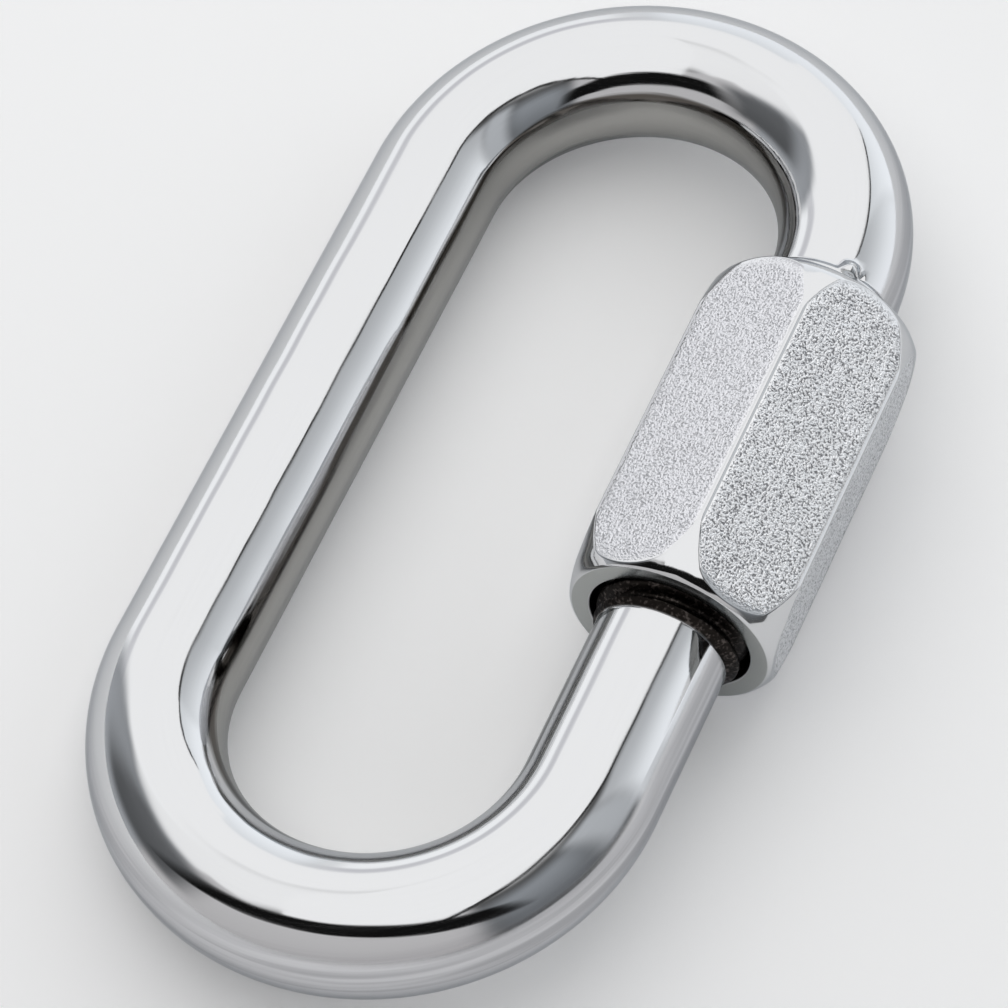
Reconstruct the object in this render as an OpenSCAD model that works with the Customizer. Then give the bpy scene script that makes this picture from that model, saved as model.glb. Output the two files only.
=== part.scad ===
// Screw-gate quick link. One round steel rod is bent into an open oval, and both of its ends carry a
// raised thread. A long hexagon sleeve nut runs on the lower thread and bridges the gate between them.
// X is across the link, Y along it and Z up out of its plane. The origin is the middle of the loop.

/* [Rod] */
// Diameter of the bent rod
rod_d = 10; // [8:0.5:12]
// Clear width between the two legs
inner_w = 22; // [20:0.5:30]
// Clear length between the two bows
inner_l = 67; // [64:0.5:90]

/* [Thread ends] */
// Height that the thread stands above the rod
thread_rise = 0.6; // [0.3:0.05:1]
// Length of the cone from the rod up to the thread
flare_l = 0.6; // [0.3:0.05:1.5]
// Bevel on the two tips that face each other in the gate
tip_bevel = 0.9; // [0.4:0.05:1.5]
// Clear opening of the gate between the two tips
gate_l = 12; // [8:0.5:14]
// Length of the upper thread that the closed nut holds
grip_l = 5.5; // [4:0.5:7]
// Plain collar between the closed nut and the upper flare
collar_l = 1.4; // [0.8:0.1:2]
// Straight rod between the upper flare and the start of the bow
collar_to_bow = 0.5; // [0.2:0.1:1]
// Length of the lower thread that shows below the closed nut
tail_l = 0.9; // [0.4:0.1:2]

/* [Stop pip] */
// Width of the punched pip at its foot
pip_d = 2.2; // [1.4:0.1:3]
// Width of the pip at its crest
pip_tip_d = 0.6; // [0.4:0.1:1]
// Height of the pip above the rod
pip_rise = 1.2; // [0.8:0.1:1.6]
// Turn of the pip about its leg, from outward towards up
pip_turn = 68; // [0:1:180]

/* [Sleeve nut] */
// Length of the nut
nut_l = 28.5; // [24:0.5:32]
// Wall of the nut between its bore and a flat
nut_wall = 2.1; // [1.5:0.1:4]
// Length of the turned crown at each end, measured at the corners
crown_l = 4.9; // [3:0.1:6]
// Height of the crown's shoulder above the end face
shoulder_l = 1.3; // [0.6:0.1:2.5]
// Radial step from a corner in to the crown's shoulder
taper_drop = 0.7; // [0.4:0.05:1]
// Radial step from a flat in to the rim of the end face
rim_drop = 0.2; // [0.05:0.05:0.5]
// Radius of the slight swell along the crown's taper
taper_swell_r = 40; // [20:1:80]
// Radius of the swell along the crown's bevel
bevel_swell_r = 4; // [2:0.5:10]
// Turn of the nut about its leg, from outward towards up
nut_turn = 22; // [0:1:59]
// Radial running clearance between the thread and the bore
run_gap = 0.05; // [0.02:0.01:0.1]
// Radial step from the bore out to the lower mouth
mouth_step = 0.45; // [0.2:0.05:0.8]
// Depth of the lower mouth
mouth_l = 1.5; // [0.8:0.1:3]
// Bevel at the upper end of the bore
top_bevel = 0.4; // [0.2:0.05:0.8]

/* [Hidden] */
$fn = 128;
cut_over = 1;
rod_r = rod_d / 2;
thread_r = rod_r + thread_rise;
bore_r = thread_r + run_gap;
mouth_r = bore_r + mouth_step;
leg_x = (inner_w + rod_d) / 2;
leg_l = inner_l - inner_w;
bow_y = leg_l / 2;
flare_top = bow_y - collar_to_bow;
collar_top = flare_top - flare_l;
nut_top = collar_top - collar_l;
nut_low = nut_top - nut_l;
upper_tip = nut_top - grip_l;
lower_tip = upper_tip - gate_l;
tail_low = nut_low - tail_l;
flat_r = bore_r + nut_wall;
corner_r = flat_r / cos(30);
rim_r = flat_r - rim_drop;
shoulder_r = corner_r - taper_drop;

// Carries a shape drawn along Z onto the nut's leg, with its foot at height y
module on_gate_leg(y) {
    translate([leg_x, y, 0])
        rotate([-90, 0, 0])
            children();
}

// Half a turn of rod, from leg to leg
module bow() {
    rotate_extrude(angle = 180)
        translate([leg_x, 0])
            circle(r = rod_r);
}

// Rod of length rod_l that flares to a thread of length thread_l and ends in a bevelled tip
module threaded_end(rod_l, thread_l) {
    thread_y = rod_l + flare_l;
    tip_y = thread_y + thread_l;
    rotate_extrude()
        polygon([
            [0, 0],
            [rod_r, 0],
            [rod_r, rod_l],
            [thread_r, thread_y],
            [thread_r, tip_y - tip_bevel],
            [thread_r - tip_bevel, tip_y],
            [0, tip_y]
        ]);
}

// Punched pip on the upper collar that keeps the nut from running up the bow
module stop_pip() {
    translate([leg_x, flare_top, 0])
        rotate([0, -pip_turn, 0])
            rotate([0, 90, 0])
                cylinder(h = rod_r + pip_rise, d1 = pip_d, d2 = pip_tip_d);
}

module link_body() {
    color("gainsboro") {
        translate([0, bow_y, 0])
            bow();
        translate([0, -bow_y, 0])
            rotate([0, 0, 180])
                bow();
        translate([-leg_x, -bow_y, 0])
            rotate([-90, 0, 0])
                cylinder(h = leg_l, r = rod_r);
        on_gate_leg(-bow_y)
            threaded_end(tail_low - flare_l + bow_y, lower_tip - tail_low);
        on_gate_leg(bow_y)
            mirror([0, 0, 1])
                threaded_end(bow_y - flare_top, collar_top - upper_tip);
        stop_pip();
    }
}

// Middle of the arc of radius arc_r that swells outward between two points of the crown's profile
function arc_middle(from, to, arc_r) =
    let (chord = to - from, half_l = norm(chord) / 2)
    (from + to) / 2 + [-chord.y, chord.x] * sqrt(arc_r * arc_r - half_l * half_l) / (2 * half_l);

// What a turning cut takes off up to the given height, leaving a swelling arc between two points
module turned_arc(from, to, arc_r, cut_top) {
    rotate_extrude()
        difference() {
            translate([from.x - cut_over, -cut_over])
                square([corner_r - from.x + 2 * cut_over, cut_top + cut_over]);
            translate(arc_middle(from, to, arc_r))
                circle(r = arc_r);
        }
}

// What the lathe takes off one end of the hexagon bar: a long taper from the corners down to a shoulder,
// and a steeper bevel from there in to the rim of the end face
module crown_cut() {
    turned_arc([shoulder_r, shoulder_l], [corner_r, crown_l], taper_swell_r, crown_l + cut_over);
    turned_arc([rim_r, 0], [shoulder_r, shoulder_l], bevel_swell_r, shoulder_l);
}

module hexagon_bar() {
    rotate([0, 0, -nut_turn])
        cylinder(h = nut_l, r = corner_r, $fn = 6);
}

module sleeve_nut() {
    color("silver")
        on_gate_leg(nut_low)
            difference() {
                hexagon_bar();
                crown_cut();
                translate([0, 0, nut_l])
                    mirror([0, 0, 1])
                        crown_cut();
                translate([0, 0, -cut_over])
                    cylinder(h = nut_l + 2 * cut_over, r = bore_r);
                translate([0, 0, -cut_over])
                    cylinder(h = mouth_l + cut_over, r = mouth_r);
                translate([0, 0, mouth_l])
                    cylinder(h = mouth_step, r1 = mouth_r, r2 = bore_r);
                translate([0, 0, nut_l - top_bevel])
                    cylinder(h = top_bevel + cut_over, r1 = bore_r, r2 = bore_r + top_bevel + cut_over);
            }
}

link_body();
sleeve_nut();
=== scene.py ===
# Screw-gate quick link as it lies on a pale table: a bent steel rod with a threaded tip on each side of
# the gate, and the long hexagon sleeve nut that is screwed across it. Lengths are in metres.
import math

import bmesh
import bpy
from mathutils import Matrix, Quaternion, Vector


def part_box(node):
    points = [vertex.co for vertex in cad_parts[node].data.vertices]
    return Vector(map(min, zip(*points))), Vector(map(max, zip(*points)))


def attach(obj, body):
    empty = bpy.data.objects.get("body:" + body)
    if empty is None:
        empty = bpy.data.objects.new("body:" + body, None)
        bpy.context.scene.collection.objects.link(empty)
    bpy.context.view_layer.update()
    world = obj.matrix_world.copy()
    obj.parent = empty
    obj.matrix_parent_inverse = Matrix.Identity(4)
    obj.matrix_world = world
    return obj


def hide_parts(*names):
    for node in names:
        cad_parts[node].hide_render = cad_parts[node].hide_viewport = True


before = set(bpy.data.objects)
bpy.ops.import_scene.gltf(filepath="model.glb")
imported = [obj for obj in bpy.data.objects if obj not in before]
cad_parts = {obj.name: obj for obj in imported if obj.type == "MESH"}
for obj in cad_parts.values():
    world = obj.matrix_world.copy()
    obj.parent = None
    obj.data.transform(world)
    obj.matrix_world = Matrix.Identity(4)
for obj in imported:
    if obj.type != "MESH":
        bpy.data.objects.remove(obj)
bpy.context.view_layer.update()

# Camera. A long lens looks down on the lying link from its right front, rolled a little so that the
# link leans to the right in the picture.
mm = 0.001
camera_place = Vector((108.74, -172.14, 292.97)) * mm
camera_aim = Vector((0.58, -2.43, 0.0)) * mm
camera_roll = math.radians(-10.7)
towards_aim = (camera_aim - camera_place).to_track_quat("-Z", "Y")
camera = bpy.data.objects.new("camera", bpy.data.cameras.new("camera"))
bpy.context.collection.objects.link(camera)
bpy.context.scene.camera = camera
camera.location = camera_place
camera.rotation_euler = (towards_aim @ Quaternion((0, 0, 1), camera_roll)).to_euler()
camera.data.sensor_width = 36.0
camera.data.lens = 176.3
camera.data.clip_start = 10 * mm

# Link body. One stainless steel rod, bent cold into an open oval and polished. Both ends are upset to a
# thicker collar that carries a rolled thread, and a pip punched beside the upper collar stops the nut.
link_low, link_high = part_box("link_body")
nut_low, nut_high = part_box("sleeve_nut")
rod_r = 5.0 * mm
leg_x = -link_low.x - rod_r
bow_y = link_high.y - leg_x - rod_r
thread_r = -link_low.z
thread_depth = 0.9 * mm
pitch = 1.75 * mm
crest_share = 0.16
run_out_l = 0.5 * mm
gate_l = 12.0 * mm
upper_tip = 14.5 * mm
lower_tip = upper_tip - gate_l
gate_middle = (lower_tip + upper_tip) / 2
tip_bevel = 0.9 * mm
flare_l = 0.6 * mm
tail_low = nut_low.y - 0.9 * mm
collar_top = nut_high.y + 1.4 * mm
thread_low = tail_low - run_out_l
thread_high = nut_high.y - 0.6 * mm
edge_round = 0.08 * mm
rod_sides = 160
thread_row = pitch / 14
bow_rows = 132
pip_y = collar_top + flare_l
pip_turn = math.radians(68)
pip_rise = 1.05 * mm
pip_l = 1.0 * mm
pip_bulge = 0.75
punch_turn = math.radians(57)
punch_depth = 0.35 * mm
punch_l = 0.5 * mm
# Reach of the grease and painted shade that darken the thread
dark_tail_top = nut_low.y + 0.5 * mm
dark_tail_fade_l = 1.5 * mm
clean_tip_l = 0.5 * mm
tip_fade_l = 0.4 * mm
clean_crest = 0.15 * mm
groove_fade = 0.6 * mm
groove_dark_share = 0.7


def smooth(share):
    """A share from 0 to 1 that starts and ends gently."""
    share = min(max(share, 0.0), 1.0)
    return share * share * (3.0 - 2.0 * share)


def thread_form(y, turn):
    """Radius of the rolled thread at height y, at an angle turn about the leg from up towards outward."""
    phase = (y / pitch - turn / math.tau) % 1.0
    groove = smooth((abs(2.0 * phase - 1.0) - crest_share) / (1.0 - 2.0 * crest_share))
    run_out = max(thread_low - y, y - thread_high) / run_out_l
    return thread_r - thread_depth * groove * (1.0 - smooth(run_out))


def next_ring(mesh, ring, place):
    """Extrudes a closed ring of edges, puts each new corner where place says and returns the new ring."""
    grown = bmesh.ops.extrude_edge_only(mesh, edges=ring)["geom"]
    corners = {part for part in grown if isinstance(part, bmesh.types.BMVert)}
    for corner in corners:
        corner.co = place(corner.co)
    return [part for part in grown if isinstance(part, bmesh.types.BMEdge) and set(part.verts) <= corners]


def from_leg(corner):
    """Direction from the gate leg's axis straight out to that place."""
    return Vector((corner.x - leg_x, 0.0, corner.z)).normalized()


def leg_ring(y, radius):
    """Puts a corner on the circle of that radius about the gate leg, at height y."""
    return lambda corner: Vector((leg_x, y, 0.0)) + from_leg(corner) * radius


def spread(start, end, step):
    """Heights from start to end in even rows of about the given step."""
    rows = max(1, round(abs(end - start) / step))
    return [start + (end - start) * row / rows for row in range(1, rows + 1)]


def end_outline(tip, flare):
    """Heights and radii of a rod end from its flat tip through the bevel, the thread and the flare."""
    way = math.copysign(1.0, flare - tip)
    face_r = thread_r - tip_bevel
    bevel_low, bevel_high = tip + way * edge_round, tip + way * (tip_bevel - edge_round)
    outline = [(tip, face_r - 3 * edge_round), (tip, face_r - edge_round)]
    outline += [(bevel_low, face_r + edge_round / 2)]
    outline += [(y, face_r + abs(y - tip)) for y in spread(bevel_low, bevel_high, thread_row)]
    outline += [(y, thread_r) for y in spread(bevel_high, flare, thread_row)[1:]]
    outline += [(y, thread_r - (thread_r - rod_r) * abs(y - flare) / flare_l)
                for y in spread(flare, flare + way * flare_l, thread_row / 2)]
    return outline


link_mesh = bmesh.new()
lower_outline = end_outline(lower_tip, tail_low)
upper_outline = end_outline(upper_tip, collar_top)
lower_plain = lower_outline[-1][0] - thread_row
upper_plain = upper_outline[-1][0] + thread_row
bmesh.ops.create_circle(link_mesh, segments=rod_sides, radius=lower_outline[0][1])
for corner in link_mesh.verts:
    corner.co = Vector((leg_x + corner.co.x, lower_tip, corner.co.y))
tip_edges = list(link_mesh.edges)
ring = tip_edges
for y, radius in [*lower_outline[1:], (lower_plain, rod_r), (-bow_y, rod_r)]:
    ring = next_ring(link_mesh, ring, leg_ring(y, radius))
for bow in (-bow_y, bow_y):
    turned = bmesh.ops.spin(
        link_mesh, geom=ring, cent=(0, bow, 0), axis=(0, 0, -1), angle=math.pi, steps=bow_rows)
    ring = [part for part in turned["geom_last"] if isinstance(part, bmesh.types.BMEdge)]
    if bow < 0:
        ring = next_ring(link_mesh, ring, lambda corner: Vector((corner.x, bow_y, corner.z)))
for y, radius in [(upper_plain, rod_r), *reversed(upper_outline)]:
    ring = next_ring(link_mesh, ring, leg_ring(y, radius))
bmesh.ops.contextual_create(link_mesh, geom=ring)
bmesh.ops.contextual_create(link_mesh, geom=tip_edges)


def punched(y, turn):
    """How far the stop pip stands out there, less how far the punch beside it sank in."""
    def off(centre, size):
        return math.hypot(y - pip_y, (turn - centre) * rod_r) / size
    lump = pip_rise * smooth(1.0 - off(pip_turn, pip_l)) ** pip_bulge
    return lump - punch_depth * smooth(1.0 - off(punch_turn, punch_l))


for corner in link_mesh.verts:
    away = Vector((corner.co.x - leg_x, 0.0, corner.co.z))
    if corner.co.x > 0 and lower_plain < corner.co.y < upper_plain and away.length > thread_r - tip_bevel:
        new_r = min(away.length, thread_form(corner.co.y, math.atan2(away.x, away.z)))
        corner.co = Vector((leg_x, corner.co.y, 0.0)) + away.normalized() * new_r
    if corner.co.x > 0 and abs(corner.co.y - pip_y) < pip_l:
        corner.co += away.normalized() * punched(corner.co.y, math.atan2(away.z, away.x))
bmesh.ops.recalc_face_normals(link_mesh, faces=link_mesh.faces)


def grease_and_shade_share(y, radius):
    """Share of old grease on the thread, darkened further as painted shade: thick on its tail at the nut's
    lower mouth, and higher up only in the grooves.
    """
    on_thread = smooth((y - tail_low + flare_l) / edge_round) * smooth((nut_high.y - y) / edge_round)
    tail = 1.0 - smooth((y - dark_tail_top) / dark_tail_fade_l)
    clear_of_tip = smooth((abs(y - gate_middle) - gate_l / 2 - clean_tip_l) / tip_fade_l)
    groove = smooth((thread_r - clean_crest - radius) / groove_fade)
    return on_thread * max(tail, groove_dark_share * groove * clear_of_tip)


def straightened(corner):
    """Where a place lay on the straight rod before it was bent, measured from the middle of the far leg."""
    past_bow = max(abs(corner.y) - bow_y, 0.0)
    outward = math.hypot(corner.x, past_bow) - leg_x
    along = abs(corner.y)
    if past_bow:
        along = bow_y + leg_x * math.atan2(past_bow, -corner.x)
    elif corner.x > 0:
        along = 2 * bow_y + leg_x * math.pi - abs(corner.y)
    half = corner.y - (gate_middle if corner.x > 0 else 0.0)
    return Vector((outward, math.copysign(along, half), corner.z))


unbent = link_mesh.verts.layers.float_vector.new("before_bending")
greased_and_shaded = link_mesh.verts.layers.float.new("greased_and_shaded")
for corner in link_mesh.verts:
    if corner.co.x > 0:
        corner[greased_and_shaded] = grease_and_shade_share(corner.co.y, math.hypot(corner.co.x - leg_x, corner.co.z))
    corner[unbent] = straightened(corner.co)


def add_piece(name, mesh):
    """Puts a finished mesh into the scene and returns its object."""
    data = bpy.data.meshes.new(name)
    mesh.to_mesh(data)
    mesh.free()
    piece = bpy.data.objects.new(name, data)
    bpy.context.collection.objects.link(piece)
    return piece


def shade_turned(piece):
    """Smooths the shading of all but the sharp edges of a turned piece."""
    piece.data.shade_smooth()
    piece.data.set_sharp_from_angle(angle=math.radians(50))


bent_link = add_piece("bent_link", link_mesh)
shade_turned(bent_link)
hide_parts("link_body")
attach(bent_link, "link")

steel = (0.62, 0.625, 0.635, 1.0)
dull_steel = (0.39, 0.385, 0.37, 1.0)
# Painted shade: a dark line along the edge of the loop's inner wall
shade_line_steel = (0.12, 0.11, 0.1, 1.0)
# Outer wall steel: a drawn satin finish, given a darker colour as painted shade
shaded_outer_steel = (0.43, 0.43, 0.445, 1.0)
drawn_steel = (0.61, 0.61, 0.625, 1.0)
edge_tint = (0.62, 0.64, 0.66, 1.0)
# Near black: old grease, darkened further as painted shade
oil_and_shade_steel = (0.02, 0.017, 0.015, 1.0)
caked_steel = (0.11, 0.095, 0.088, 1.0)


def add_material(piece, name):
    """Gives the piece a new material and returns the material's node tree."""
    material = bpy.data.materials.new(name)
    material.use_nodes = True
    piece.data.materials.append(material)
    return material.node_tree


def add_node(tree, kind, inputs=None, **settings):
    """Adds a shader node, sets it up and feeds its inputs with values or with other nodes' outputs."""
    node = tree.nodes.new("ShaderNode" + kind)
    for name, value in settings.items():
        setattr(node, name, value)
    for name, value in (inputs or {}).items():
        if isinstance(value, bpy.types.NodeSocket):
            tree.links.new(value, node.inputs[name])
        else:
            node.inputs[name].default_value = value
    return node


def noise(tree, place, scale, detail):
    """Output of a noise whose grains are about 1 / scale metres wide."""
    return add_node(tree, "TexNoise", {"Vector": place, "Scale": scale, "Detail": detail}).outputs["Fac"]


def painted(tree, layer):
    """What one of the mesh's layers of numbers holds."""
    return add_node(tree, "Attribute", attribute_name=layer).outputs["Fac"]


def remap(tree, value, low, high, to_low=0.0, to_high=1.0):
    """Output of a smooth step that takes low to to_low and high to to_high."""
    inputs = {"Value": value, "From Min": low, "From Max": high, "To Min": to_low, "To Max": to_high}
    return add_node(tree, "MapRange", inputs, interpolation_type="SMOOTHSTEP").outputs["Result"]


def mixed(tree, share, first, second):
    """Colour between two colours."""
    node = add_node(tree, "Mix", data_type="RGBA")
    for socket, value in (("Factor_Float", share), ("A_Color", first), ("B_Color", second)):
        target = next(s for s in node.inputs if s.identifier == socket)
        if isinstance(value, bpy.types.NodeSocket):
            tree.links.new(value, target)
        else:
            target.default_value = value
    return next(s for s in node.outputs if s.identifier == "Result_Color")


def calc(tree, operation, first, second):
    """Output of a maths node."""
    return add_node(tree, "Math", {0: first, 1: second}, operation=operation).outputs[0]


def plus_share(tree, value, added, factor):
    """A value with a share of another one added to it."""
    return calc(tree, "ADD", value, calc(tree, "MULTIPLY", added, factor))


def new_effect(name, inputs, outputs):
    """Starts a node group and returns its tree, the sockets that it is given and those that it puts out."""
    tree = bpy.data.node_groups.new(name, "ShaderNodeTree")
    for side, sockets in (("INPUT", inputs), ("OUTPUT", outputs)):
        for socket, kind in sockets.items():
            tree.interface.new_socket(socket, in_out=side, socket_type="NodeSocket" + kind)
    return tree, tree.nodes.new("NodeGroupInput").outputs, tree.nodes.new("NodeGroupOutput").inputs


def with_effect(tree, effect, inputs):
    """Places an effect in a material and returns its outputs."""
    return add_node(tree, "Group", inputs, node_tree=effect).outputs


def make_steel(tree, colour, roughness, normal):
    """Feeds a steel's shader, whose tint darkens the steel where it turns away."""
    shader = tree.nodes["Principled BSDF"]
    shader.inputs["Metallic"].default_value = 1.0
    shader.inputs["Specular Tint"].default_value = edge_tint
    tree.links.new(colour, shader.inputs["Base Color"])
    tree.links.new(roughness, shader.inputs["Roughness"])
    tree.links.new(normal, shader.inputs["Normal"])


# Fine lines along the bar, left by the die that it was drawn through
drawn_lines, given, result = new_effect(
    "drawn_lines", {"Place": "Vector", "Scale": "Float", "Detail": "Float"}, {"Lines": "Float"})
line_stretch = (1.0, 0.03, 1.0)
stretched = add_node(drawn_lines, "VectorMath", {0: given["Place"], 1: line_stretch}, operation="MULTIPLY")
lines = noise(drawn_lines, stretched.outputs["Vector"], given["Scale"], given["Detail"])
drawn_lines.links.new(lines, result["Lines"])

# Old grease in the thread and in the nut's bore, darkened further as painted shade, and dried to a paler
# crust in places
grease_and_shade_given = {"Place": "Vector", "Share": "Float", "Crust": "Float"}
grease_and_shade, given, result = new_effect(
    "grease_and_shade", {**grease_and_shade_given, "Bare Colour": "Color", "Bare Roughness": "Float"},
    {"Colour": "Color", "Roughness": "Float", "Height": "Float"})
lumps = noise(grease_and_shade, given["Place"], 3200.0, 3.0)
crust = calc(grease_and_shade, "MULTIPLY", remap(grease_and_shade, lumps, 0.5, 0.68), given["Crust"])
smear_and_shade_colour = mixed(grease_and_shade, crust, oil_and_shade_steel, caked_steel)
smeared_and_shaded_colour = mixed(grease_and_shade, given["Share"], given["Bare Colour"], smear_and_shade_colour)
smeared_gloss = plus_share(grease_and_shade, given["Bare Roughness"], given["Share"], 0.3)
grease_and_shade.links.new(smeared_and_shaded_colour, result["Colour"])
grease_and_shade.links.new(smeared_gloss, result["Roughness"])
grease_and_shade.links.new(calc(grease_and_shade, "MULTIPLY", lumps, given["Share"]), result["Height"])

# The polishing wheel reaches everywhere but the loop's inner wall, which stays duller and scratched
polish = add_material(bent_link, "polished_steel")
bar_place = add_node(polish, "Attribute", attribute_name="before_bending").outputs["Vector"]
drawn = with_effect(polish, drawn_lines, {"Place": bar_place, "Scale": 3500.0, "Detail": 3.0})["Lines"]
scratched = with_effect(polish, drawn_lines, {"Place": bar_place, "Scale": 900.0, "Detail": 4.0})["Lines"]
outward = add_node(polish, "SeparateXYZ", {0: bar_place}).outputs["X"]
ragged = plus_share(polish, outward, calc(polish, "SUBTRACT", scratched, 0.5), 1.4 * mm)
inner_wall = remap(polish, ragged, -4.35 * mm, -4.7 * mm)
outer_wall = remap(polish, ragged, 3.6 * mm, 4.6 * mm)
near_inner_wall = remap(polish, ragged, -4.0 * mm, -4.2 * mm)
# Painted shade: a dark line along the edge of the inner wall, broken up by the scratches
shade_line = calc(polish, "MULTIPLY", near_inner_wall, remap(polish, scratched, 0.35, 0.5))
# The outer wall's drawn lines are real; its darker colour is painted shade
shaded_outer_colour = mixed(polish, remap(polish, scratched, 0.4, 0.6), shaded_outer_steel, drawn_steel)
bare_colour = mixed(polish, outer_wall, mixed(polish, shade_line, steel, shade_line_steel), shaded_outer_colour)
bare_colour = mixed(polish, inner_wall, bare_colour, dull_steel)
gloss = remap(polish, drawn, 0.3, 0.7, 0.04, 0.12)
gloss = plus_share(polish, gloss, inner_wall, 0.24)
gloss = plus_share(polish, gloss, outer_wall, 0.09)
# The thread's tail and grooves are darkened by grease and by painted shade
greasy_and_shaded = with_effect(polish, grease_and_shade, {
    "Place": bar_place, "Share": painted(polish, "greased_and_shaded"), "Crust": 1.0,
    "Bare Colour": bare_colour, "Bare Roughness": gloss})
line_depth = remap(polish, remap(polish, outward, 0.0, -4.5 * mm), 0.0, 1.0, 0.12, 1.0)
relief = calc(polish, "MULTIPLY", drawn, plus_share(polish, line_depth, outer_wall, 1.3))
relief = plus_share(polish, relief, greasy_and_shaded["Height"], 20.0)
waves = add_node(polish, "Bump", {"Height": noise(polish, bar_place, 120.0, 1.0), "Distance": 0.09 * mm})
fine_lines = add_node(polish, "Bump", {
    "Height": relief, "Distance": 0.003 * mm, "Normal": waves.outputs["Normal"]})
make_steel(polish, greasy_and_shaded["Colour"], greasy_and_shaded["Roughness"], fine_lines.outputs["Normal"])

# Sleeve nut. A hexagon steel bar, sawn to length, turned at both ends to a long taper and a steeper bevel,
# bored and tapped right through. Its flats are left with a fine peened grain and its ends are polished.
flat_r = 7.75 * mm
corner_round = 0.2 * mm
crown_l = 4.9 * mm
shoulder_l = 1.05 * mm
taper_drop = 0.7 * mm
taper_swell_r = 40.0 * mm
bevel_swell_r = 5.0 * mm
rim_r = flat_r - 0.2 * mm
rim_round = 0.12 * mm
edge_blend = 0.05 * mm
shoulder_blend = 0.12 * mm
mouth_r = 6.1 * mm
mouth_l = 1.5 * mm
mouth_edge = 0.1 * mm
bore_r = 5.1 * mm
bore_top = nut_high.y - 0.04 * mm
bore_bevel_r = 6.05 * mm
thread_gap = 0.07 * mm
bore_row = pitch / 12
nut_turn = math.radians(22)
half_side = math.radians(30)
nut_l = nut_high.y - nut_low.y
nut_mid = (nut_low.y + nut_high.y) / 2
sharp_r = flat_r / math.cos(half_side)
corner_r = sharp_r - corner_round * (1 / math.cos(half_side) - 1)
half_flat = (flat_r - corner_round) * math.tan(half_side)
rim_point = Vector((rim_r, 0.0))
shoulder_point = Vector((sharp_r - taper_drop, shoulder_l))
corner_point = Vector((sharp_r, crown_l))
flat_cuts = 25
flat_rows = 8
crown_rows = 18
edge_steps = (1.0, 0.6, 0.3, 0.0, -0.3, -0.6, -1.0)


def arc_middle(start, end, arc_r):
    """Middle of the arc that swells outward between two points, each a radius and a height."""
    chord = end - start
    inward = Vector((-chord.y, chord.x)).normalized()
    return (start + end) / 2 + inward * math.sqrt(arc_r ** 2 - (chord.length / 2) ** 2)


taper_middle = arc_middle(shoulder_point, corner_point, taper_swell_r)
bevel_middle = arc_middle(rim_point, shoulder_point, bevel_swell_r)


def blended(first, second, width=edge_blend):
    """The smaller of two radii, rounded where they meet."""
    near = max(width - abs(first - second), 0.0)
    return min(first, second) - near * near / (4 * width)


def crown_form(height):
    """Radius that the lathe leaves at a height above the nearer end face."""
    taper = taper_middle.x + math.sqrt(taper_swell_r ** 2 - (height - taper_middle.y) ** 2)
    if height > 2 * shoulder_l:
        return taper
    bevel = bevel_middle.x + math.sqrt(bevel_swell_r ** 2 - (height - bevel_middle.y) ** 2)
    return blended(taper, bevel, shoulder_blend)


def crown_height(radius):
    """Height above the end face at which the crown has that radius."""
    taper = taper_middle.y - math.sqrt(taper_swell_r ** 2 - (radius - taper_middle.x) ** 2)
    inward = min(radius, bevel_middle.x + 0.999 * bevel_swell_r) - bevel_middle.x
    return max(taper, bevel_middle.y - math.sqrt(bevel_swell_r ** 2 - inward ** 2))


def from_flat(corner):
    """Angle about the leg's axis from the middle of the nearest flat to that corner."""
    angle = math.atan2(corner.z, corner.x - leg_x) - nut_turn
    return angle % (2 * half_side) - half_side


def bar_radius(corner):
    """Radius of the bar, with its rounded corners, on the ray from the leg's axis through that corner."""
    angle = abs(from_flat(corner))
    if flat_r * math.tan(angle) < half_flat:
        return flat_r / math.cos(angle)
    middle = (flat_r - corner_round) / math.cos(half_side)
    swing = half_side - angle
    return middle * math.cos(swing) + math.sqrt(corner_round ** 2 - (middle * math.sin(swing)) ** 2)


nut_mesh = bmesh.new()
bmesh.ops.create_circle(nut_mesh, segments=6, radius=sharp_r, cap_ends=True)
bmesh.ops.bevel(nut_mesh, geom=list(nut_mesh.verts), offset=corner_round * math.tan(half_side),
                affect="VERTICES", segments=6, profile=0.5, material=-1)
bmesh.ops.delete(nut_mesh, geom=list(nut_mesh.faces), context="FACES_ONLY")
sides = [edge for edge in nut_mesh.edges if edge.calc_length() > flat_r / 2]
bmesh.ops.subdivide_edges(nut_mesh, edges=sides, cuts=flat_cuts)
ring = list(nut_mesh.edges)
for corner in nut_mesh.verts:
    turned = Quaternion((0, 0, 1), nut_turn - half_side) @ corner.co
    corner.co = Vector((leg_x + turned.x, nut_mid, turned.y))
    around = from_leg(corner.co)
    angle = from_flat(corner.co)
    across = flat_r * math.tan(angle)
    # Columns along a flat crowd towards its corners, where the crown curves most
    if abs(across) < half_flat:
        crowded = math.atan(half_flat / flat_r * math.sin(math.pi / 2 * across / half_flat))
        around = Quaternion((0, -1, 0), crowded - angle) @ around
    corner.co = Vector((leg_x, nut_mid, 0.0)) + around
    corner.co = Vector((leg_x, nut_mid, 0.0)) + around * bar_radius(corner.co)


def flat_height(share):
    """Heights of a row between the nut's middle and the crown's upper edge, for each radius of the bar."""
    return lambda radius: nut_l / 2 + (crown_height(radius + edge_blend) - nut_l / 2) * share ** 0.5


def edge_height(step):
    """Heights of a row close to the edge between a flat and the crown."""
    return lambda radius: crown_height(radius + step * edge_blend)


def taper_height(share):
    """Heights of a row between the crown's upper edge and the rim."""
    def height_of(radius):
        edge = crown_height(radius - edge_blend)
        return edge + (rim_round - edge) * share
    return height_of


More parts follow.
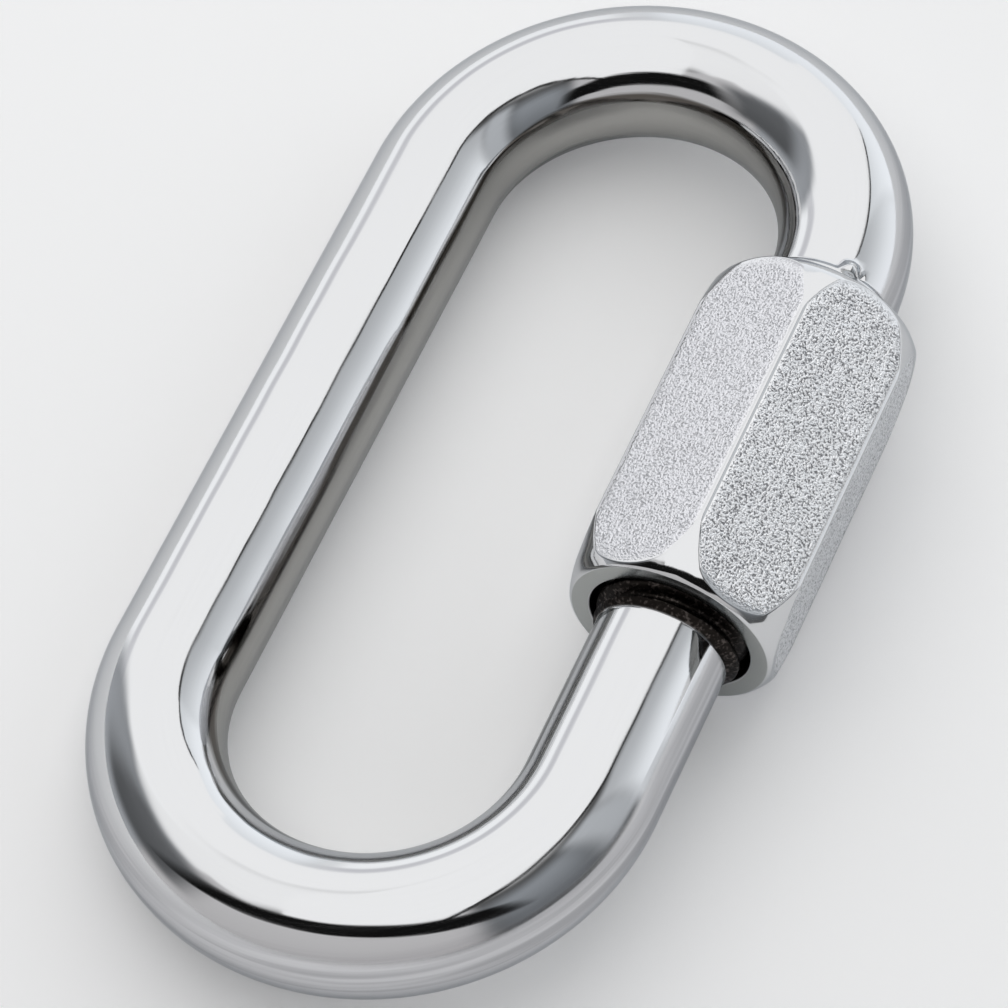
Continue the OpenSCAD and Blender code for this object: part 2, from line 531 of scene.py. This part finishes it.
def nut_ring(height_of, upper):
    """Puts a corner on the outside of the nut, at the height that height_of gives for the bar's radius."""
    def place(corner):
        radius = bar_radius(corner)
        height = height_of(radius)
        y = nut_high.y - height if upper else nut_low.y + height
        return Vector((leg_x, y, 0.0)) + from_leg(corner) * blended(radius, crown_form(height))
    return place


def bore_ring(y):
    """Puts a corner on the tapped bore, with the mouth at its lower end and the bevel at its upper end."""
    def place(corner):
        around = from_leg(corner)
        tapped = max(bore_r, thread_form(y, math.atan2(around.x, around.z)) + thread_gap)
        mouth = mouth_r - max(y - nut_low.y - mouth_l, 0.0)
        bevel = bore_bevel_r - (nut_high.y - y)
        return Vector((leg_x, y, 0.0)) + around * max(tapped, mouth, bevel)
    return place


outside = [flat_height(row / flat_rows) for row in range(1, flat_rows)]
outside += [edge_height(step) for step in edge_steps]
outside += [taper_height(row / crown_rows) for row in range(1, crown_rows + 1)]
# Steps of the rounded rim: in from its edge, and back from the end face
rim_steps = [(0.02 * mm, 0.05 * mm), (0.06 * mm, 0.015 * mm), (rim_round, 0.0)]
middle_ring = ring
for height_of in outside:
    ring = next_ring(nut_mesh, ring, nut_ring(height_of, upper=True))
for inset, drop in rim_steps:
    ring = next_ring(nut_mesh, ring, leg_ring(nut_high.y - drop, rim_r - inset))
for y, step in ((nut_high.y, 0.1 * mm), (bore_top, 0.02 * mm)):
    ring = next_ring(nut_mesh, ring, leg_ring(y, bore_bevel_r + step))
for y in spread(bore_top, nut_low.y + mouth_l, bore_row):
    ring = next_ring(nut_mesh, ring, bore_ring(y))
for rise, step in ((mouth_edge, 0.0), (0.0, mouth_edge), (0.0, 1.5 * mouth_edge)):
    ring = next_ring(nut_mesh, ring, leg_ring(nut_low.y + rise, mouth_r + step))
for inset, rise in reversed(rim_steps):
    ring = next_ring(nut_mesh, ring, leg_ring(nut_low.y + rise, rim_r - inset))
for height_of in reversed(outside):
    ring = next_ring(nut_mesh, ring, nut_ring(height_of, upper=False))
bmesh.ops.bridge_loops(nut_mesh, edges=ring + middle_ring)
bmesh.ops.recalc_face_normals(nut_mesh, faces=nut_mesh.faces)

# The flat next to the loop and the one across from it are peened more finely than the others, and are given
# a darker colour as painted shade
peened = nut_mesh.verts.layers.float.new("peened")
tapped = nut_mesh.verts.layers.float.new("tapped")
coarse_and_lit = nut_mesh.verts.layers.float.new("coarse_and_lit")
faced = nut_mesh.verts.layers.float.new("faced")
fine_and_shaded_share = 0.25
bore_wall_r = mouth_r + 0.03 * mm
bore_foot = 0.05 * mm
face_inner_r = mouth_r + 0.12 * mm
face_outer_r = rim_r - 0.09 * mm
face_slack = 0.01 * mm
peen_margin = 0.08 * mm
peen_fade = 0.3 * mm
for corner in nut_mesh.verts:
    away = math.hypot(corner.co.x - leg_x, corner.co.z)
    height = min(corner.co.y - nut_low.y, nut_high.y - corner.co.y)
    to_corner = half_flat - abs(flat_r * math.tan(from_flat(corner.co)))
    to_crown = height - crown_height(bar_radius(corner.co))
    flat_turn = math.atan2(corner.co.z, corner.co.x - leg_x) - nut_turn - math.radians(90)
    corner[tapped] = float(away < bore_wall_r and height > bore_foot)
    corner[faced] = float(height < face_slack and face_inner_r < away < face_outer_r)
    corner[coarse_and_lit] = fine_and_shaded_share if abs(math.cos(flat_turn)) > math.cos(half_side) else 1.0
    if away > flat_r - edge_blend:
        corner[peened] = smooth((min(to_corner, to_crown) - peen_margin) / peen_fade)

hexagon_sleeve = add_piece("hexagon_sleeve", nut_mesh)
shade_turned(hexagon_sleeve)
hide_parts("sleeve_nut")
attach(hexagon_sleeve, "nut")

# Painted shade: the finely peened flats get a darker copy of the flat colour than the coarse ones
shaded_fine_flat = (0.72, 0.72, 0.75, 1.0)
lit_coarse_flat = (0.86, 0.865, 0.88, 1.0)
# Painted shade in the dents of the peened grain
pit_shade_steel = (0.11, 0.11, 0.12, 1.0)
faced_steel = (0.4, 0.41, 0.4, 1.0)
peen = add_material(hexagon_sleeve, "peened_steel")
nut_place = add_node(peen, "TexCoord").outputs["Object"]
flats = painted(peen, "peened")
end_face = painted(peen, "faced")
coarse_and_lit_share = painted(peen, "coarse_and_lit")
streaks = with_effect(peen, drawn_lines, {"Place": nut_place, "Scale": 5000.0, "Detail": 2.0})["Lines"]
grain = plus_share(peen, noise(peen, nut_place, 5600.0, 1.0), streaks, 0.18)
coarse_depth = calc(peen, "MULTIPLY", flats, coarse_and_lit_share)
# Painted shade: the dents of the peened grain are darkened, more on the coarse flats
pit_shade_depth = plus_share(peen, calc(peen, "MULTIPLY", coarse_depth, 0.5), flats, 0.32)
pit_shade = calc(peen, "MULTIPLY", remap(peen, grain, 0.59, 0.44), pit_shade_depth)
# Painted shade: the finely peened flats are darker than the coarse ones
lit_and_shaded_flats = mixed(peen, coarse_and_lit_share, shaded_fine_flat, lit_coarse_flat)
bare_colour = mixed(peen, pit_shade, mixed(peen, flats, steel, lit_and_shaded_flats), pit_shade_steel)
bare_colour = mixed(peen, end_face, bare_colour, faced_steel)
gloss = plus_share(peen, remap(peen, flats, 0.0, 1.0, 0.07, 0.32), end_face, 0.12)
# The tapped bore is darkened by grease and by painted shade
greasy_and_shaded = with_effect(peen, grease_and_shade, {
    "Place": nut_place, "Share": painted(peen, "tapped"), "Crust": 0.3,
    "Bare Colour": bare_colour, "Bare Roughness": gloss})
relief = calc(peen, "MULTIPLY", grain, plus_share(peen, coarse_depth, flats, 0.5))
relief = plus_share(peen, relief, greasy_and_shaded["Height"], 0.3)
dimples = add_node(peen, "Bump", {"Height": relief, "Distance": 0.14 * mm})
make_steel(peen, greasy_and_shaded["Colour"], greasy_and_shaded["Roughness"], dimples.outputs["Normal"])

# Floor. A plain pale board under the link, which lies on its far leg and on the nut's lowest corner, so
# the board is tilted to touch both. From below it is see-through, so that the underside can be looked at.
floor_gap = 0.03 * mm
lowest_corner = nut_turn + math.radians(240)
nut_foot = Vector((leg_x + corner_r * math.cos(lowest_corner), 0.0, corner_r * math.sin(lowest_corner)))
reach = math.hypot(nut_foot.x + leg_x, nut_foot.z)
floor_tilt = math.asin(-rod_r / reach) - math.atan2(nut_foot.z, nut_foot.x + leg_x)
floor_up = Vector((math.sin(floor_tilt), 0.0, math.cos(floor_tilt)))
under_leg = Vector((-leg_x, 0.0, 0.0)) - floor_up * (rod_r + floor_gap)
floor_mesh = bmesh.new()
bmesh.ops.create_grid(floor_mesh, x_segments=1, y_segments=1, size=1.0)
bmesh.ops.rotate(floor_mesh, verts=floor_mesh.verts, matrix=floor_up.to_track_quat("Z", "Y").to_matrix())
bmesh.ops.translate(floor_mesh, verts=floor_mesh.verts, vec=under_leg)
floor = add_piece("floor", floor_mesh)


def show_surface(tree, shader):
    """Makes that shader's output the surface of its material."""
    tree.links.new(shader, tree.nodes["Material Output"].inputs["Surface"])


paint = add_material(floor, "pale_board")
board = paint.nodes["Principled BSDF"]
board.inputs["Base Color"].default_value = (0.93, 0.93, 0.93, 1.0)
board.inputs["Roughness"].default_value = 0.9
board.inputs["Specular IOR Level"].default_value = 0.0
# What is seen straight, mirrored or through glass is lifted a little towards white
white_lift = 0.08
ray = add_node(paint, "LightPath").outputs
mirrored = calc(paint, "MAXIMUM", ray["Is Glossy Ray"], ray["Is Transmission Ray"])
lift = calc(paint, "MULTIPLY", calc(paint, "MAXIMUM", ray["Is Camera Ray"], mirrored), white_lift)
board.inputs["Emission Color"].default_value = (1.0, 1.0, 1.0, 1.0)
paint.links.new(lift, board.inputs["Emission Strength"])
from_below = add_node(paint, "NewGeometry").outputs["Backfacing"]
clear = add_node(paint, "BsdfTransparent").outputs["BSDF"]
either = add_node(paint, "MixShader", {"Fac": from_below, 1: board.outputs["BSDF"], 2: clear})
show_surface(paint, either.outputs["Shader"])

# Light tent. White cloth that glows brightest overhead and behind the link, with blue-grey sides, and a
# pale board low in front. Bearings run from the front round by the right, and heights up from the table.
tent_r = 3.0
dark_cloth = Vector((0.1, 0.1, 0.1))
# Bearings from and to, heights from and to, glow at the foot and at the top, tint, and how many degrees
# the upright edges and the level edges take to fade
walls = {
    "overhead": (-180, 180, 60, 91, 1.2, 1.28, (1.0, 1.0, 1.0), 0, 14),
    "left_roof": (232, 322, 48, 74, 1.22, 1.26, (1.0, 1.0, 1.0), 20, 8),
    "left": (246, 304, 0, 49, 0.5, 0.4, (0.96, 1.0, 1.05), 26, 12),
    "front_board": (-62, 52, -3, 55, 0.66, 0.74, (1.0, 0.985, 0.99), 8, 3),
    "left_flag": (268, 314, 14, 48, 0.12, 0.17, (0.97, 1.0, 1.04), 18, 12),
    "right": (54, 96, -1, 47, 0.22, 0.4, (0.94, 1.0, 1.07), 26, 18),
    "right_screen": (96, 114, 1, 52, 0.62, 0.66, (0.96, 1.0, 1.04), 10, 8),
    "right_back": (114, 152, -8, 50, 1.3, 0.66, (0.97, 1.0, 1.03), 10, 8),
    "back": (150, 205, -8, 60, 1.4, 0.8, (0.97, 1.0, 1.03), 8, 8),
    "left_back": (205, 250, -8, 60, 1.36, 1.36, (0.99, 1.0, 1.01), 8, 8),
    "left_seam": (205, 250, 17, 27, 0.84, 0.88, (0.99, 0.99, 1.03), 8, 4),
    "back_high": (178, 250, 27, 62, 1.29, 1.29, (1.0, 1.0, 1.0), 12, 4),
}


def cloth_colour(bearing, height):
    """Colour that the tent glows with in that direction, both in degrees."""
    glow = dark_cloth
    for left, right, foot, top, foot_glow, top_glow, tint, side_fade, level_fade in walls.values():
        off = (bearing - (left + right) / 2 + 180) % 360 - 180
        across = smooth(((right - left) / 2 - abs(off)) / side_fade + 0.5) if side_fade else 1.0
        upward = smooth((height - foot) / level_fade + 0.5) * smooth((top - height) / level_fade + 0.5)
        level = foot_glow + (top_glow - foot_glow) * smooth((height - foot) / (top - foot))
        glow = glow.lerp(Vector(tint) * level, across * upward)
    return glow


tent_mesh = bmesh.new()
bmesh.ops.create_uvsphere(tent_mesh, u_segments=180, v_segments=90, radius=tent_r)
cloth_glow = tent_mesh.verts.layers.float_color.new("glow")
for corner in tent_mesh.verts:
    bearing = math.degrees(math.atan2(corner.co.x, -corner.co.y))
    height = math.degrees(math.asin(max(-1.0, min(1.0, corner.co.z / tent_r))))
    corner[cloth_glow] = (*cloth_colour(bearing, height), 1.0)
tent = add_piece("light_tent", tent_mesh)
tent.visible_camera = False


def make_glow(tree, colour, strength):
    """Takes the shader of reflecting things out of a material and returns a glow to put in its place."""
    tree.nodes.remove(tree.nodes["Principled BSDF"])
    return add_node(tree, "Emission", {"Color": colour, "Strength": strength}).outputs["Emission"]


cloth = add_material(tent, "tent_cloth")
woven = add_node(cloth, "Attribute", attribute_name="glow").outputs["Color"]
show_surface(cloth, make_glow(cloth, woven, 1.0))
tent.data.materials[0].cycles.emission_sampling = "NONE"

# Soft box. A long white box of lamps that hangs level over the link and reaches away to the back, with a
# narrow black lip along its right side.
box_h = 0.8
box_near = -0.86 * box_h
box_far = 3.1 * box_h
box_left = -0.3 * box_h
box_right = 0.52 * box_h
lip_right = 0.6 * box_h
white_light = (1.0, 1.0, 1.0, 1.0)


def hang_card(name, left, right, strength):
    """Hangs a flat card over the link, between those places across it, that glows evenly."""
    mesh = bmesh.new()
    bmesh.ops.create_grid(mesh, x_segments=1, y_segments=1, size=0.5)
    bmesh.ops.scale(mesh, verts=mesh.verts, vec=(right - left, box_far - box_near, 1.0))
    bmesh.ops.translate(mesh, verts=mesh.verts, vec=((left + right) / 2, (box_near + box_far) / 2, box_h))
    bmesh.ops.reverse_faces(mesh, faces=mesh.faces)
    card = add_piece(name, mesh)
    card.visible_camera = False
    tree = add_material(card, name)
    show_surface(tree, make_glow(tree, white_light, strength))


hang_card("soft_box", box_left, box_right, 1.29)
hang_card("soft_box_lip", box_right, lip_right, 0.05)

# Black flag. A leaning strip of black felt that stands in front of the link, below the lens, and gives the
# bows their dark bands. Its cloth thins out towards the ends and the top.
flag_left, flag_right = -0.25, 0.35
flag_foot_y, flag_top_y = -0.14, -0.182
flag_foot_z, flag_top_z = 0.094, 0.28
felt_glow = 0.008
flag_mesh = bmesh.new()
bmesh.ops.create_grid(flag_mesh, x_segments=40, y_segments=24, size=1.0)
cover = flag_mesh.verts.layers.float.new("cover")
for corner in flag_mesh.verts:
    across, upward = (corner.co.x + 1) / 2, (corner.co.y + 1) / 2
    ends = smooth(across / 0.22) * smooth((1 - across) / 0.22)
    corner[cover] = ends * smooth(upward / 0.04) * smooth((1 - upward) / 0.3)
    corner.co = Vector((
        flag_left + (flag_right - flag_left) * across,
        flag_foot_y + (flag_top_y - flag_foot_y) * upward,
        flag_foot_z + (flag_top_z - flag_foot_z) * upward))
flag = add_piece("black_flag", flag_mesh)
flag.visible_camera = False
felt = add_material(flag, "black_felt")
dark = make_glow(felt, white_light, felt_glow)
through = add_node(felt, "BsdfTransparent").outputs["BSDF"]
felt_or_gap = add_node(felt, "MixShader", {"Fac": painted(felt, "cover"), 1: through, 2: dark})
show_surface(felt, felt_or_gap.outputs["Shader"])

# Backdrop. An even pale wall far behind the table, which is seen past the edge of the board because the
# camera looks through the tent and the cards.
world = bpy.data.worlds.new("pale_backdrop")
world.use_nodes = True
world.node_tree.nodes["Background"].inputs["Color"].default_value = (0.9, 0.9, 0.9, 1.0)
bpy.context.scene.world = world
bpy.context.scene.view_settings.view_transform = "Standard"
